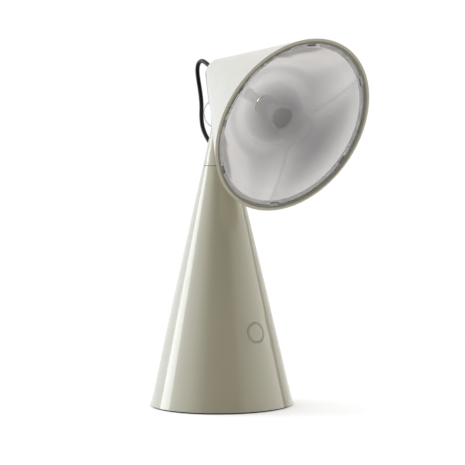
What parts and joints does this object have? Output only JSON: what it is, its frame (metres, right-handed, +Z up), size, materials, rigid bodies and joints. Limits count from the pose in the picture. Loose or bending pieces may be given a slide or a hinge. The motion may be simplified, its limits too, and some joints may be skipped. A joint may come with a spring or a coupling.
{
  "type": "tabletop searchlight lamp",
  "caption": "Tabletop searchlight lamp: a wide cone head with a clear lens, held by a chrome ball on a turning neck, above a tall cone base with a push button.",
  "frame": {"origin": "centre of the rubber pad's underside, where the lamp stands", "axes": "+Z up along the base cone's axis; the lamp's front, its button and the lens face -Y; +X is the lamp's left-to-right axis, square to its plane of symmetry"},
  "size_m": [0.179, 0.228, 0.3606],
  "materials": {
    "body_paint": "gloss greige paint, smooth",
    "ball_chrome": "mirror polish",
    "cord_black": "glossy black sheath",
    "black_rubber": "satin moulded",
    "seal_grey": "grey-brown, satin moulded",
    "black_plastic": "fine matt",
    "white_nylon": "as moulded",
    "reflector_silver": "polished and metallised bowl",
    "grey_silicone": "pale, satin moulded",
    "lens_clear": "clear, polished",
    "turned_aluminium": "fine turned",
    "plain_steel": "zinc plated",
    "nickel_magnet": "nickel plated",
    "iron_casting": "as cast",
    "circuit_board": "white solder mask",
    "led_amber": "clear over yellow phosphor"
  },
  "bodies": {
    "base": {"base_shell": "body_paint", "mount_ring": "plain_steel", "base_plate": "plain_steel", "base_screws": "plain_steel", "ballast_bolts": "plain_steel", "foot_pad": "black_rubber", "ballast": "iron_casting", "lead_gland": "black_rubber", "driver_box": "black_plastic", "driver_screws": "plain_steel", "terminal_block": "white_nylon", "swivel_collar": "turned_aluminium", "swivel_bush": "white_nylon", "stop_pin": "plain_steel", "riser_lead": "cord_black", "button_bezel": "body_paint", "button_housing": "black_plastic", "switch_board": "circuit_board", "tact_switch": "black_plastic", "return_ring": "black_rubber"},
    "button": {"button_cap": "body_paint", "switch_plunger": "black_plastic"},
    "neck": {"neck_cone": "body_paint", "slip_washer": "black_plastic", "swivel_tube": "plain_steel", "stop_washer": "plain_steel", "spring_washer": "plain_steel", "swivel_nut": "plain_steel", "ball_stud": "plain_steel", "ball": "ball_chrome", "neck_grommet": "black_rubber", "neck_lead": "cord_black", "link_cord_lower": "cord_black"},
    "socket": {"socket_liner": "white_nylon"},
    "head": {"head_shell": "body_paint", "socket_housing": "turned_aluminium", "magnet": "nickel_magnet", "magnet_cap": "turned_aluminium", "tip_bush": "black_rubber", "head_lead": "cord_black", "link_cord_upper": "cord_black", "bulkhead": "turned_aluminium", "hub_screws": "plain_steel", "led_hub": "turned_aluminium", "led_board": "circuit_board", "led_chips": "led_amber", "hub_cap": "turned_aluminium", "reflector": "reflector_silver", "lens_seat": "grey_silicone", "lens": "lens_clear", "lens_gasket": "seal_grey"}
  },
  "joints": [
    {"name": "button_press", "type": "slide", "parent": "base", "child": "button", "axis": [-0.0357, 0.9735, -0.226], "range_m": [0, 0.0012], "stiffness_N_per_m": 900, "springref_m": -0.0012, "deforming": ["return_ring"]},
    {"name": "neck_swivel", "type": "hinge", "parent": "base", "child": "neck", "pos_m": [0, 0, 0.24], "axis": [0, 0, 1], "range_deg": [-168, 168]},
    {"name": "head_tilt", "type": "hinge", "parent": "neck", "child": "socket", "pos_m": [0, 0, 0.2919], "axis": [1, 0, 0], "range_deg": [-60, 22], "deforming": ["link_cord_lower"]},
    {"name": "head_spin", "type": "hinge", "parent": "socket", "child": "head", "pos_m": [0, 0, 0.2919], "axis": [0, -0.81, 0.5864], "range_deg": [-30, 30], "deforming": ["link_cord_upper"]}
  ]
}
